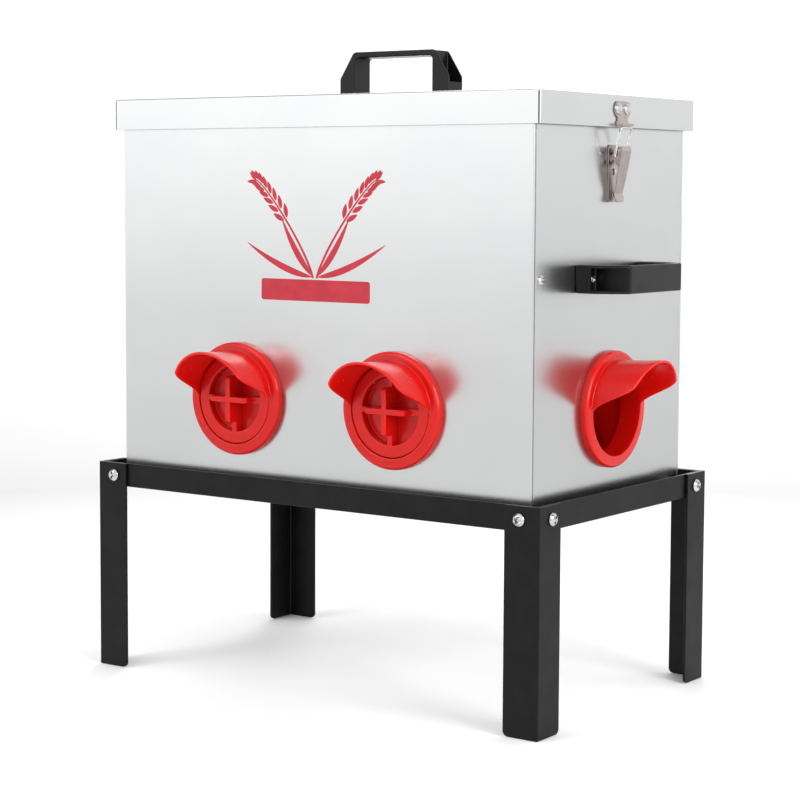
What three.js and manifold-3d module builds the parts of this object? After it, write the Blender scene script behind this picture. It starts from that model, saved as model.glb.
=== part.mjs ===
// Gravity poultry feeder: a sheet-steel hopper with a lift-off lid, six feeding ports and an angle-iron stand.
// Millimetres, +Z up, +X to the right, -Y to the front. The origin is on the floor under the stand's middle.
import * as THREE from 'three';
import { mergeVertices } from 'three/addons/utils/BufferGeometryUtils.js';
import Module from 'manifold-3d';

const wasm = await Module();
wasm.setup();

// ---- driving dimensions ----
const GAP = 0.3; // running gap between pieces that touch
const SHEET = 1; // wall thickness of the hopper and the lid
const HOPPER = { width: 450, depth: 256, bottom: 173.5, top: 530.7, flange: 25 };
const FLOOR = { upstand: 16 };
const LID = { overSide: 8, overFront: 4, bottom: 504, top: 532 };
const STAND = { width: 488, depth: 290, height: 193, leg: 34, thick: 2.5 };
const RAIL = { height: 22, ledge: 30, thick: 2.2 };
const STAND_SCREW = { shank: 3, head: 5.8, crown: 3.4, height: 3.6, length: 13, hole: 3.4 };
const STAND_SCREW_PLACE = { inset: 19.5, drop: 11.5 };
const SEAM_SCREW = { shank: 1.8, head: 4.3, crown: 2.8, height: 2, length: 5, hole: 2.2 };
const SEAM_SCREW_PLACE = { inset: 12, height: 376 };
const HANDLE = { length: 122, height: 44, width: 24, grip: 5.5, foot: 18, upright: 20, slant: 15.5, wall: 2.4 };
const SIDE_HANDLE_HEIGHT = 375.5;
const PORT = { height: 261, spacing: 173, flange: 51, flangeThick: 7, bore: 41, tube: 43.2, stub: 13.3 };
const HOOD = { inner: 41.2, outer: 43.2, flare: 1.8, reach: 38, crown: 6.5, root: 1.5, half: 90, full: 55 };
const ELBOW = { inner: 44.4, outer: 46.6, bend: 47.5, straight: 12, mouth: 6 };
const PLUG = { radius: 40.3, face: 7, recess: 29.5, recessDepth: 8, floor: 2.5, skirt: 8, wall: 2.3 };
const PLUG_GRIP = { fin: 21, thick: 5.2, proud: 9.5, spoke: 5 };
const LATCH = {
  baseBottom: 440, baseTop: 489, baseHalf: 9.5, plate: 1, chamfer: 3,
  pivot: [10, 484], wirePivot: [7.2, 478.5], pin: 1.5,
  leverHalf: 7.8, leverSheet: 0.9, earInner: 5.4, ear: 1, earRound: 2.4,
  wire: 1, wireHalf: 9.4, wireEnd: 6.9, crossbar: [13, 503.5],
};
// Side views of the pressed lever, as [x, z] from its pivot.
const LEVER = {
  outside: [[3.3, 3.5], [3.6, 0], [-2.6, -31], [-4, -37], [-2.2, -44]],
  inside: [[2.5, 3.3], [2.7, 0.1], [-3.5, -30.9], [-5, -37], [-3.1, -44.2]],
  cheek: [[2.9, 3.2], [3.1, 0], [0.5, -13], [-1.2, -13.4], [-5.2, -8.2], [-5, -4], [-2.4, 2], [0, 3.2]],
};
const KEEPER = {
  top: 526, rivets: 519.4, head: 13.8, lobe: 6.8, neck: 8.5, plate: 1,
  lip: 505, reach: 6.4, lipHalf: 10, turnUp: 2,
};
const ROUND = 24; // sides of a port-sized circle

// ---- materials ----
const steel = new THREE.MeshStandardMaterial({ color: 0xd6d7d9, roughness: 0.38, metalness: 0.9 });
const black = new THREE.MeshStandardMaterial({ color: 0x1b1b1c, roughness: 0.5, metalness: 0.2 });
const moulded = new THREE.MeshStandardMaterial({ color: 0x161617, roughness: 0.45, metalness: 0 });
const red = new THREE.MeshStandardMaterial({ color: 0xc4131b, roughness: 0.32, metalness: 0 });
const stainless = new THREE.MeshStandardMaterial({ color: 0xc9bdb9, roughness: 0.3, metalness: 1 });
const zinc = new THREE.MeshStandardMaterial({ color: 0xd9dadb, roughness: 0.25, metalness: 1 });

// ---- solids ----
function toSolid(geometry) {
  const bare = geometry.clone();
  bare.deleteAttribute('normal');
  bare.deleteAttribute('uv');
  const merged = mergeVertices(bare, 1e-4);
  const corners = Array.from(merged.index.array);
  const kept = [];
  for (let i = 0; i < corners.length; i += 3) {
    const [a, b, c] = corners.slice(i, i + 3);
    if (a !== b && b !== c && a !== c) kept.push(a, b, c);
  }
  const build = (triVerts) => new wasm.Manifold(new wasm.Mesh({
    numProp: 3,
    vertProperties: Float32Array.from(merged.attributes.position.array),
    triVerts: Uint32Array.from(triVerts),
  }));
  const solid = build(kept);
  return solid.volume() > 0 ? solid : build(kept.reverse());
}

function toGeometry(solid) {
  const { vertProperties, triVerts } = solid.getMesh();
  const geometry = new THREE.BufferGeometry();
  geometry.setAttribute('position', new THREE.BufferAttribute(new Float32Array(vertProperties), 3));
  geometry.setIndex(new THREE.BufferAttribute(new Uint32Array(triVerts), 1));
  geometry.computeVertexNormals();
  return geometry;
}

function piece(name, solid, material) {
  const mesh = new THREE.Mesh(toGeometry(solid), material);
  mesh.name = name;
  return mesh;
}

function block(x0, x1, y0, y1, z0, z1) {
  const geometry = new THREE.BoxGeometry(x1 - x0, y1 - y0, z1 - z0);
  return toSolid(geometry.translate((x0 + x1) / 2, (y0 + y1) / 2, (z0 + z1) / 2));
}

// A round bar through a point, along the X or the Y axis.
function bar(axis, radius, length, centre, sides = 12) {
  const geometry = new THREE.CylinderGeometry(radius, radius, length, sides);
  if (axis === 'x') geometry.rotateZ(Math.PI / 2);
  return toSolid(geometry.translate(...centre));
}

// A profile of [radius, y] points turned about the Y axis.
function turned(profile, sides) {
  const points = profile.map(([radius, y]) => new THREE.Vector2(radius, y));
  return toSolid(new THREE.LatheGeometry(points, sides));
}

// An outline in the XZ plane, given as [x, z] points, extruded evenly to both sides of y = 0.
function slab(outline, width) {
  const shape = new THREE.Shape(outline.map(([x, z]) => new THREE.Vector2(x, z)));
  const geometry = new THREE.ExtrudeGeometry(shape, { depth: width, bevelEnabled: false, steps: 1 });
  return toSolid(geometry.translate(0, 0, -width / 2).rotateX(Math.PI / 2));
}

// An outline in the YZ plane, given as [y, z] points, extruded from x = from to x = to.
function plate(outline, from, to) {
  const shape = new THREE.Shape(outline.map(([y, z]) => new THREE.Vector2(y, z)));
  const geometry = new THREE.ExtrudeGeometry(shape, { depth: to - from, bevelEnabled: false, steps: 1 });
  const turn = new THREE.Matrix4().makeBasis(
    new THREE.Vector3(0, 1, 0), new THREE.Vector3(0, 0, 1), new THREE.Vector3(1, 0, 0));
  return toSolid(geometry.applyMatrix4(turn).translate(from, 0, 0));
}

// Rings of equal length joined in order. The ends: 'loop' joins the last ring to the first, 'fan' caps each end
// from its middle, and 'strip' caps each end between the two halves of its ring, as a bent shell needs.
function loft(rings, ends) {
  const size = rings[0].length;
  const points = rings.flat();
  const index = [];
  const joined = ends === 'loop' ? rings.length : rings.length - 1;
  for (let r = 0; r < joined; r++) {
    const step = (((r + 1) % rings.length) - r) * size;
    for (let i = 0; i < size; i++) {
      const [a, b] = [r * size + i, r * size + ((i + 1) % size)];
      index.push(a, b, b + step, a, b + step, a + step);
    }
  }
  const cap = (triangle, flip) => index.push(...(flip ? triangle.reverse() : triangle));
  const caps = ends === 'loop' ? [] : [[0, false], [(rings.length - 1) * size, true]];
  for (const [start, flip] of caps) {
    if (ends === 'fan') {
      const middle = new THREE.Vector3();
      points.slice(start, start + size).forEach((p) => middle.addScaledVector(p, 1 / size));
      const centre = points.push(middle) - 1;
      for (let i = 0; i < size; i++) cap([centre, start + ((i + 1) % size), start + i], flip);
    }
    if (ends === 'strip') {
      for (let i = 0; i < size / 2 - 1; i++) {
        const [near, far] = [start + i, start + size - 2 - i];
        cap([near, far, near + 1], flip);
        cap([near, far + 1, far], flip);
      }
    }
  }
  const geometry = new THREE.BufferGeometry().setFromPoints(points);
  geometry.setIndex(index);
  return toSolid(geometry);
}

const union = (...solids) => solids.reduce((a, b) => a.add(b));
const cut = (solid, ...tools) => tools.reduce((a, b) => a.subtract(b), solid);

// ---- hopper ----
const side = HOPPER.width / 2;
const front = HOPPER.depth / 2;
const portX = PORT.spacing / 2;

const portHole = (axis, at) => bar(axis, PORT.tube + 0.6, 4, at, ROUND);
const seamScrewY = front - SEAM_SCREW_PLACE.inset;

function seamHoles(x) {
  const { height } = SEAM_SCREW_PLACE;
  return [-seamScrewY, seamScrewY].map((y) => bar('x', SEAM_SCREW.hole, 8, [x, y, height], 10));
}

function sidePanel(name, sign) {
  const x = sign * (side - SHEET / 2);
  const sheet = block(x - SHEET / 2, x + SHEET / 2, -front, front, HOPPER.bottom, HOPPER.top);
  const holes = [portHole('x', [x, 0, PORT.height]), ...seamHoles(x)];
  return piece(name, cut(sheet, ...holes), steel);
}

// The front or back panel: a sheet whose two upright edges turn back inside the side panels.
function facePanel(name, sign) {
  const half = side - SHEET - GAP;
  const y = sign * front;
  const inside = y - sign * SHEET;
  const back = y - sign * HOPPER.flange;
  const ordered = (a, b) => [Math.min(a, b), Math.max(a, b)];
  const sheet = block(-half, half, ...ordered(y, inside), HOPPER.bottom, HOPPER.top);
  const flanges = [-1, 1].map((s) => block(
    ...ordered(s * half, s * (half - SHEET)), ...ordered(y, back), HOPPER.bottom, HOPPER.top));
  const middle = y - sign * SHEET / 2;
  const holes = [-portX, portX].map((x) => portHole('y', [x, middle, PORT.height]));
  const screws = [-1, 1].map((s) => bar('x', SEAM_SCREW.hole, 8, [
    s * half, sign * seamScrewY, SEAM_SCREW_PLACE.height], 10));
  return piece(name, cut(union(sheet, ...flanges), ...holes, ...screws), steel);
}

function floorPan() {
  const x = side - 2 * (SHEET + GAP);
  const y = front - SHEET - GAP;
  const tray = block(-x, x, -y, y, HOPPER.bottom, HOPPER.bottom + FLOOR.upstand);
  const inside = block(-x + SHEET, x - SHEET, -y + SHEET, y - SHEET, HOPPER.bottom + SHEET, HOPPER.top);
  return piece('floor_pan', cut(tray, inside), steel);
}

function lid() {
  const x = side + LID.overSide;
  const y = front + LID.overFront;
  const shell = block(-x, x, -y, y, LID.bottom, LID.top);
  const inside = block(-x + SHEET, x - SHEET, -y + SHEET, y - SHEET, LID.bottom - 1, LID.top - SHEET);
  return piece('lid', cut(shell, inside), steel);
}

// A pan-head screw in a surface at y = 0. The head is on the -Y side.
function panScrew(name, { shank, head, crown, height, length }, sides) {
  const edge = Math.min(1, height / 2);
  const profile = [[0, -height], [crown, -height + GAP], [head, -edge], [head, -GAP], [shank, -GAP],
    [shank, length], [0, length]];
  return piece(name, turned(profile, sides), zinc);
}

function seamScrew(name, signX, signY) {
  const mesh = panScrew(name, SEAM_SCREW, 8);
  mesh.rotation.z = signX * Math.PI / 2;
  mesh.position.set(signX * side, signY * seamScrewY, SEAM_SCREW_PLACE.height);
  return mesh;
}

// ---- handles ----
// A bridge handle along X that stands on z = 0: two hollow feet with slanted ends, and a flat grip.
function handle(name) {
  const { length, height, grip, foot, upright, slant, width, wall } = HANDLE;
  const end = length / 2;
  const inner = end - foot;
  const bend = 3;
  const pocketFloor = 6;
  const half = [[end, 0], [end, upright], [end - slant + 0.8, height - 1], [end - slant - 1.5, height]];
  const window = [[inner - bend, height - grip], [inner, height - grip - bend], [inner, 0]];
  const mirror = (points) => points.map(([x, z]) => [-x, z]).reverse();
  const outline = [...half, ...mirror(half), ...mirror(window), ...window].map(([x, z]) => [x, z + GAP]);
  const pocket = [[inner + bend, pocketFloor], [end - wall, pocketFloor], [end - wall, upright + 2],
    [end + 5, height - 10], [end - 5, height + 2], [inner + bend, height - 7]];
  const pockets = [pocket, mirror(pocket)].map((points) => slab(points, width - 2 * wall));
  return piece(name, cut(slab(outline, width), ...pockets), moulded);
}

function sideHandle(name, sign) {
  const mesh = handle(name);
  mesh.rotation.set(0, sign * Math.PI / 2, Math.PI / 2);
  mesh.position.set(sign * side, 0, SIDE_HANDLE_HEIGHT);
  return mesh;
}

// ---- feeding ports: the wall's outer face is y = 0 and the port looks along -Y ----
// How far the hood stands out of the flange, at an angle in degrees from its top.
function hoodReach(angle) {
  const turn = Math.abs(angle);
  const t = Math.min(1, (HOOD.half - turn) / (HOOD.half - HOOD.full));
  const crown = HOOD.crown * Math.max(0, Math.cos(THREE.MathUtils.degToRad(1.5 * turn)));
  return HOOD.root + (HOOD.reach - HOOD.root + crown) * t * t * (3 - 2 * t);
}

function hood() {
  const steps = 16;
  const stations = 4;
  const buried = -3;
  const angles = Array.from({ length: steps + 1 }, (_, i) => HOOD.half * (2 * i / steps - 1));
  const rings = [];
  for (let s = 0; s <= stations; s++) {
    const along = s / stations;
    const point = (angle, radius) => {
      const reach = hoodReach(angle);
      const flared = radius + HOOD.flare * along ** 2 * (reach / (HOOD.reach + HOOD.crown));
      const y = THREE.MathUtils.lerp(buried, -PORT.flangeThick - reach, along);
      const a = THREE.MathUtils.degToRad(angle);
      return new THREE.Vector3(flared * Math.sin(a), y, flared * Math.cos(a));
    };
    rings.push([
      ...angles.map((a) => point(a, HOOD.outer)),
      ...angles.map((a) => point(a, HOOD.inner)).reverse(),
    ]);
  }
  return loft(rings, 'strip');
}

function portBody(name) {
  const faceY = -PORT.flangeThick - GAP;
  const edge = 1.6;
  const profile = [[PORT.bore, faceY], [PORT.flange - edge, faceY], [PORT.flange, faceY + edge],
    [PORT.flange, -GAP], [PORT.tube, -GAP], [PORT.tube, PORT.stub], [PORT.bore, PORT.stub], [PORT.bore, faceY]];
  const ring = turned(profile, ROUND);
  return piece(name, union(ring, hood().translate(0, -GAP, 0)), red);
}

// The chute behind the wall: it slips over the port's stub and turns down towards the hopper's floor.
function elbow(name) {
  const sides = 16;
  const bends = 4;
  const start = SHEET + GAP;
  const spine = [[start, 0, 0]];
  for (let i = 0; i <= bends; i++) {
    const a = (i / bends) * Math.PI / 2;
    spine.push([start + ELBOW.straight + ELBOW.bend * Math.sin(a), -ELBOW.bend * (1 - Math.cos(a)), a]);
  }
  spine.push([start + ELBOW.straight + ELBOW.bend, -ELBOW.bend - ELBOW.mouth, Math.PI / 2]);
  const ring = (radius) => ([y, z, lean]) => Array.from({ length: sides }, (_, i) => {
    const a = (2 * Math.PI * i) / sides;
    const up = radius * Math.cos(a);
    return new THREE.Vector3(radius * Math.sin(a), y + up * Math.sin(lean), z + up * Math.cos(lean));
  });
  const rings = [...spine.map(ring(ELBOW.outer)), ...spine.map(ring(ELBOW.inner)).reverse()];
  return piece(name, loft(rings, 'loop'), red);
}

function plug(name) {
  const { radius, face, recess, recessDepth, floor, skirt, wall } = PLUG;
  const { fin, thick, proud, spoke } = PLUG_GRIP;
  const floorY = recessDepth - face;
  const profile = [[0, floorY], [recess, floorY], [recess, -face], [radius, -face], [radius, skirt],
    [radius - wall, skirt], [radius - wall, floorY + floor], [0, floorY + floor]];
  const root = floorY + floor / 2;
  const cup = turned(profile, ROUND);
  const half = recess + 1;
  const spokes = [
    block(-half, half, -face, root, -spoke / 2, spoke / 2),
    block(-spoke / 2, spoke / 2, -face, root, -half, half),
  ];
  const fins = [
    block(-fin, fin, -face - proud, root, -thick / 2, thick / 2),
    block(-thick / 2, thick / 2, -face - proud, root, -fin, fin),
  ];
  return piece(name, union(cup, ...spokes, ...fins), red);
}

function port(label, position, angle, plugged) {
  const group = new THREE.Group();
  group.position.set(...position, PORT.height);
  group.rotation.z = angle;
  group.add(portBody(`port_${label}`), elbow(`elbow_${label}`));
  if (plugged) group.add(plug(`plug_${label}`));
  return group;
}

// ---- toggle latches: the wall's outer face is x = 0 and the latch stands out along +X ----
function latchBase(name) {
  const { baseBottom, baseTop, baseHalf: b, plate: thick, chamfer } = LATCH;
  const { pivot, earInner, ear, earRound, pin } = LATCH;
  const sheet = plate([[-b, baseBottom + chamfer], [-b + chamfer, baseBottom], [b - chamfer, baseBottom],
    [b, baseBottom + chamfer], [b, baseTop], [-b, baseTop]], GAP, GAP + thick);
  const [px, pz] = pivot;
  const nose = Array.from({ length: 7 }, (_, i) => {
    const a = THREE.MathUtils.degToRad(-90 + (225 * i) / 6);
    return [px + earRound * Math.cos(a), pz + earRound * Math.sin(a)];
  });
  const outline = [[GAP, pz - 9], ...nose, [GAP, pz - 3]];
  const ears = [-1, 1].map((s) => slab(outline, ear).translate(0, s * (earInner + ear / 2), 0));
  const hole = bar('y', pin + 0.3, 30, [px, 0, pz], 12);
  return piece(name, cut(union(sheet, ...ears), hole), stainless);
}

function latchLever(name) {
  const { pivot: [px, pz], wirePivot, leverHalf, leverSheet: t, pin, wire } = LATCH;
  const fromPivot = (points) => points.map(([x, z]) => [px + x, pz + z]);
  const web = slab(fromPivot([...LEVER.outside, ...LEVER.inside.toReversed()]), 2 * leverHalf);
  const beyond = leverHalf + 1;
  const waist = [[beyond, -22], [leverHalf, -24], [leverHalf - 1.4, -31], [leverHalf - 1.4, -35],
    [leverHalf, -41], [beyond, -42]];
  const corner = [[beyond, -41], [leverHalf, -41], [leverHalf - 3, -46], [beyond, -46]];
  const trims = [waist, corner].flatMap((points) => [-1, 1].map(
    (s) => plate(points.map(([y, z]) => [s * y, pz + z]), 0, 30)));
  const cheeks = [-1, 1].map((s) => slab(fromPivot(LEVER.cheek), t).translate(0, s * (leverHalf - t / 2), 0));
  const holes = [
    bar('y', pin + 0.25, 30, [px, 0, pz], 12),
    bar('y', wire + 0.25, 30, [wirePivot[0], 0, wirePivot[1]], 12),
  ];
  return piece(name, cut(union(cut(web, ...trims), ...cheeks), ...holes), stainless);
}

// A round wire along a flat path of points, mitred at its corners. normal is square to the path's plane.
function wireLoop(path, normal, radius, sides = 8) {
  const rings = path.map((p, i) => {
    const before = i > 0 ? p.clone().sub(path[i - 1]).normalize() : null;
    const after = i < path.length - 1 ? path[i + 1].clone().sub(p).normalize() : null;
    const along = before ?? after;
    const mitre = along.clone().add(after ?? along).normalize();
    const across = along.clone().cross(normal).normalize();
    return Array.from({ length: sides }, (_, k) => {
      const a = (2 * Math.PI * (k + 0.5)) / sides;
      const offset = normal.clone().multiplyScalar(radius * Math.cos(a));
      offset.addScaledVector(across, radius * Math.sin(a));
      const slide = -offset.dot(mitre) / along.dot(mitre);
      return p.clone().add(offset).addScaledVector(along, slide);
    });
  });
  return loft(rings, 'fan');
}

function latchBail(name) {
  const { wirePivot: [px, pz], crossbar: [cx, cz], wireHalf: h, wireEnd, wire } = LATCH;
  const length = Math.hypot(cx - px, cz - pz);
  const along = new THREE.Vector3((cx - px) / length, 0, (cz - pz) / length);
  const normal = new THREE.Vector3(-along.z, 0, along.x);
  const at = (y, up) => new THREE.Vector3(px, y, pz).addScaledVector(along, up);
  const half = [at(wireEnd, 0), at(h - 1, 0), at(h - 0.3, 0.3), at(h, 1), at(h, length - 2),
    at(h - 0.6, length - 0.6), at(h - 2, length)];
  const other = half.map((p) => new THREE.Vector3(p.x, -p.y, p.z)).reverse();
  return piece(name, wireLoop([...half, ...other], normal, wire), stainless);
}

function latchPin(name) {
  const [px, pz] = LATCH.pivot;
  return piece(name, bar('y', LATCH.pin, 2 * (LATCH.leverHalf + 0.3), [px, 0, pz], 12), stainless);
}

function latch(label, angle) {
  const group = new THREE.Group();
  group.rotation.z = angle;
  const parts = [
    latchBase(`latch_base_${label}`), latchLever(`latch_lever_${label}`),
    latchBail(`latch_bail_${label}`), latchPin(`latch_pin_${label}`),
  ];
  parts.forEach((mesh) => mesh.position.setX(side));
  group.add(...parts);
  return group;
}

// The keeper on the lid's skirt: a riveted plate whose lower edge turns out into a lip.
function keeper(name, angle) {
  const { top, rivets, lip, reach, head, lobe, neck, lipHalf, turnUp, plate: t } = KEEPER;
  const ear = Array.from({ length: 9 }, (_, i) => {
    const a = THREE.MathUtils.degToRad(-50 + (140 * i) / 8);
    return [head - lobe + lobe * Math.cos(a), rivets + lobe * Math.sin(a)];
  });
  const half = [[neck - 0.5, lip], [neck, lip + 7], ...ear];
  const outline = [...half, ...half.map(([y, z]) => [-y, z]).reverse()];
  const sheet = plate(outline.map(([y, z]) => [y, Math.min(z, top)]), GAP, GAP + t);
  const shelf = block(GAP, GAP + reach, -lipHalf, lipHalf, lip, lip + t);
  const edge = block(GAP + reach - t, GAP + reach, -lipHalf, lipHalf, lip, lip + turnUp);
  const mesh = piece(name, union(sheet, shelf, edge), stainless);
  const group = new THREE.Group();
  mesh.position.setX(side + LID.overSide);
  group.rotation.z = angle;
  group.add(mesh);
  return group;
}

// ---- stand ----
const standX = STAND.width / 2;
const standY = STAND.depth / 2;
const screwZ = STAND.height - STAND_SCREW_PLACE.drop;
const screwX = standX - STAND_SCREW_PLACE.inset;
const screwY = standY - STAND_SCREW_PLACE.inset;

function standHoles() {
  const reach = 16;
  const holes = [];
  for (const sx of [-1, 1]) {
    for (const sy of [-1, 1]) {
      holes.push(bar('y', STAND_SCREW.hole, reach, [sx * screwX, sy * standY, screwZ], 10));
      holes.push(bar('x', STAND_SCREW.hole, reach, [sx * standX, sy * screwY, screwZ], 10));
    }
  }
  return holes;
}

function leg(name, sx, sy, holes) {
  const { leg: wide, thick, height } = STAND;
  const outline = [[0, 0], [-wide, 0], [-wide, -thick], [-thick, -thick], [-thick, -wide], [0, -wide]];
  const placed = outline.map(([x, y]) => new THREE.Vector2(sx * (x + standX), sy * (y + standY)));
  const shape = new THREE.Shape(placed);
  const angle = toSolid(new THREE.ExtrudeGeometry(shape, { depth: height, bevelEnabled: false }));
  return piece(name, cut(angle, ...holes), black);
}

function rail(name, axis, sign, holes) {
  const long = axis === 'x';
  const skin = STAND.thick + GAP;
  const outer = (long ? standY : standX) - skin;
  const end = long ? standX - skin : standY - skin - RAIL.thick - GAP;
  const ledgeEnd = long ? end - RAIL.thick - GAP : standY - skin - RAIL.ledge - GAP;
  const bottom = STAND.height - RAIL.height;
  const angle = (half, inner, top) => {
    const [a, b] = [sign * inner, sign * outer].sort((p, q) => p - q);
    return long ? block(-half, half, a, b, bottom, top) : block(a, b, -half, half, bottom, top);
  };
  const wall = angle(end, outer - RAIL.thick, STAND.height);
  const ledge = angle(ledgeEnd, outer - RAIL.ledge, bottom + RAIL.thick);
  return piece(name, cut(union(wall, ledge), ...holes), black);
}

function standScrew(name, position, angle) {
  const mesh = panScrew(name, STAND_SCREW, 10);
  mesh.position.set(...position);
  mesh.rotation.z = angle;
  return mesh;
}

function stand() {
  const group = new THREE.Group();
  const holes = standHoles();
  for (const [sx, xName] of [[-1, 'left'], [1, 'right']]) {
    for (const [sy, yName] of [[-1, 'front'], [1, 'back']]) {
      const corner = `${yName}_${xName}`;
      const facing = sy < 0 ? 0 : Math.PI;
      group.add(leg(`leg_${corner}`, sx, sy, holes));
      group.add(standScrew(`stand_screw_${corner}_face`, [sx * screwX, sy * standY, screwZ], facing));
      group.add(standScrew(`stand_screw_${corner}_side`, [sx * standX, sy * screwY, screwZ], sx * Math.PI / 2));
    }
  }
  group.add(rail('rail_front', 'x', -1, holes), rail('rail_back', 'x', 1, holes));
  group.add(rail('rail_left', 'y', -1, holes), rail('rail_right', 'y', 1, holes));
  return group;
}

// ---- the whole feeder ----
const feeder = new THREE.Group();
feeder.add(sidePanel('side_panel_left', -1), sidePanel('side_panel_right', 1));
feeder.add(facePanel('front_panel', -1), facePanel('back_panel', 1), floorPan(), lid());
for (const [sx, xName] of [[-1, 'left'], [1, 'right']]) {
  for (const [sy, yName] of [[-1, 'front'], [1, 'back']]) {
    feeder.add(seamScrew(`seam_screw_${yName}_${xName}`, sx, sy));
  }
}
const lidHandle = handle('lid_handle');
lidHandle.position.set(0, 0, LID.top);
feeder.add(lidHandle, sideHandle('side_handle_left', -1), sideHandle('side_handle_right', 1));
feeder.add(port('front_left', [-portX, -front], 0, true));
feeder.add(port('front_right', [portX, -front], 0, true));
feeder.add(port('back_left', [-portX, front], Math.PI, true));
feeder.add(port('back_right', [portX, front], Math.PI, true));
feeder.add(port('left', [-side, 0], -Math.PI / 2, false));
feeder.add(port('right', [side, 0], Math.PI / 2, false));
feeder.add(latch('right', 0), keeper('keeper_right', 0));
feeder.add(latch('left', Math.PI), keeper('keeper_left', Math.PI));
feeder.add(stand());

export default feeder;
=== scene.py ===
import math

import bmesh
import bpy
from mathutils import Matrix, Vector


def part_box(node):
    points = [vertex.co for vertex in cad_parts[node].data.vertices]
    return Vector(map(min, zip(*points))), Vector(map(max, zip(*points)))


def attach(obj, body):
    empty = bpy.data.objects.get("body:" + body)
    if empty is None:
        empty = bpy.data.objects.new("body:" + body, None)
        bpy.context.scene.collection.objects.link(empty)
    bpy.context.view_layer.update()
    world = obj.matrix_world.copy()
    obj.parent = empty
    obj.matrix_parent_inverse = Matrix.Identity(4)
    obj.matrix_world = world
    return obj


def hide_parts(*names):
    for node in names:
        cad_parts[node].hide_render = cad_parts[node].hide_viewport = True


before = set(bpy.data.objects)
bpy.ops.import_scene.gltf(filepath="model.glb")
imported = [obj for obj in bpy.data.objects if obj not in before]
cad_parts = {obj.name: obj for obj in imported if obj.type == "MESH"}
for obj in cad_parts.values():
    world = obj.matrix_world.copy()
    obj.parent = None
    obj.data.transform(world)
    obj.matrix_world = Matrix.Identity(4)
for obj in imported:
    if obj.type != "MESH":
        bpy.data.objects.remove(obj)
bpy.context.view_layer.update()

# Gravity poultry feeder. Metres, +Z up, -Y to the front, the origin on the floor under the stand.
MM = 0.001
GAP = 0.3 * MM

# ---- sizes that the frame's boxes don't give ----
SHEET = 1.0 * MM
FOLD = 1.6 * MM  # outside radius of a fold in the lid and the floor pan
CORNER_FOLD = 1.4 * MM  # outside radius of the upright folds of the front and back panels
# Depths behind the face: where the upright fold ends, where its joggle ends, and where the side panel starts.
CORNER_LIP, JOGGLE_END, SEAM = 2.1 * MM, 2.8 * MM, 3.8 * MM
FLANGE = 7.0 * MM  # thickness of a port's flange
BORE, TUBE, STUB = 41.0 * MM, 43.2 * MM, 13.3 * MM  # a port tube's two radii, and its depth behind the wall
HOOD_REACH, HOOD_CROWN, HOOD_LIP, HOOD_FLARE = 38.0 * MM, 6.5 * MM, 0.25 * MM, 1.8 * MM
# Degrees either side of the top: where the hood starts, and where it reaches its full length.
HOOD_HALF, HOOD_FULL = 90.0, 55.0
ELBOW_IN, ELBOW_OUT, ELBOW_BEND = 44.0 * MM, 46.3 * MM, 47.5 * MM
PLUG_R, PLUG_RECESS, PLUG_DEPTH = 40.3 * MM, 29.5 * MM, 8.0 * MM  # radius, and the recess's radius and depth
POCKET_FLOOR = 10.5 * MM  # of the hollow in a handle's foot, above the foot's base
PRINT = 0.12 * MM  # thickness of the printed film
PIVOT, WIRE_PIVOT, CROSSBAR = (10.0, 484.0), (7.2, 478.5), (13.0, 503.5)  # latch, mm from the wall and floor
STAND_SHEET, RAIL_SHEET, RAIL_LEDGE = 2.5 * MM, 2.2 * MM, 30 * MM
KEEPER_RIVETS = (7.3, 519.4)  # mm from the middle of the side and from the floor
BASE_RIVETS = (446, 466)  # heights of the latch base's rivets, mm from the floor

scene = bpy.context.scene


# ---------------------------------------------------------------- mesh helpers
def add_object(name, verts, faces, material=None, merge=0.0):
    """A mesh object with its normals pointing outwards."""
    mesh = bpy.data.meshes.new(name)
    mesh.from_pydata([tuple(v) for v in verts], [], [tuple(f) for f in faces])
    bm = bmesh.new()
    bm.from_mesh(mesh)
    if merge:
        bmesh.ops.remove_doubles(bm, verts=bm.verts, dist=merge)
    bmesh.ops.recalc_face_normals(bm, faces=bm.faces)
    bm.to_mesh(mesh)
    bm.free()
    obj = bpy.data.objects.new(name, mesh)
    scene.collection.objects.link(obj)
    if material:
        mesh.materials.append(material)
    return obj


def loft(rings, loop=False):
    """Closed rings of equal length joined in order, and back to the first or capped: (verts, faces)."""
    count, size = len(rings), len(rings[0])
    verts = [p for ring in rings for p in ring]
    faces = []
    for r in range(count if loop else count - 1):
        a, b = r * size, ((r + 1) % count) * size
        faces += [(a + i, a + (i + 1) % size, b + (i + 1) % size, b + i) for i in range(size)]
    if not loop:
        faces += [range(size - 1, -1, -1), range((count - 1) * size, count * size)]
    return verts, faces


def revolve(name, profile, material, steps=96):
    """A closed profile of (radius, y) points turned about the Y axis."""
    rings = []
    for i in range(steps):
        a = 2 * math.pi * i / steps
        rings.append([Vector((r * math.sin(a), y, r * math.cos(a))) for r, y in profile])
    return add_object(name, *loft(rings, loop=True), material, merge=0.001 * MM)


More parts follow.
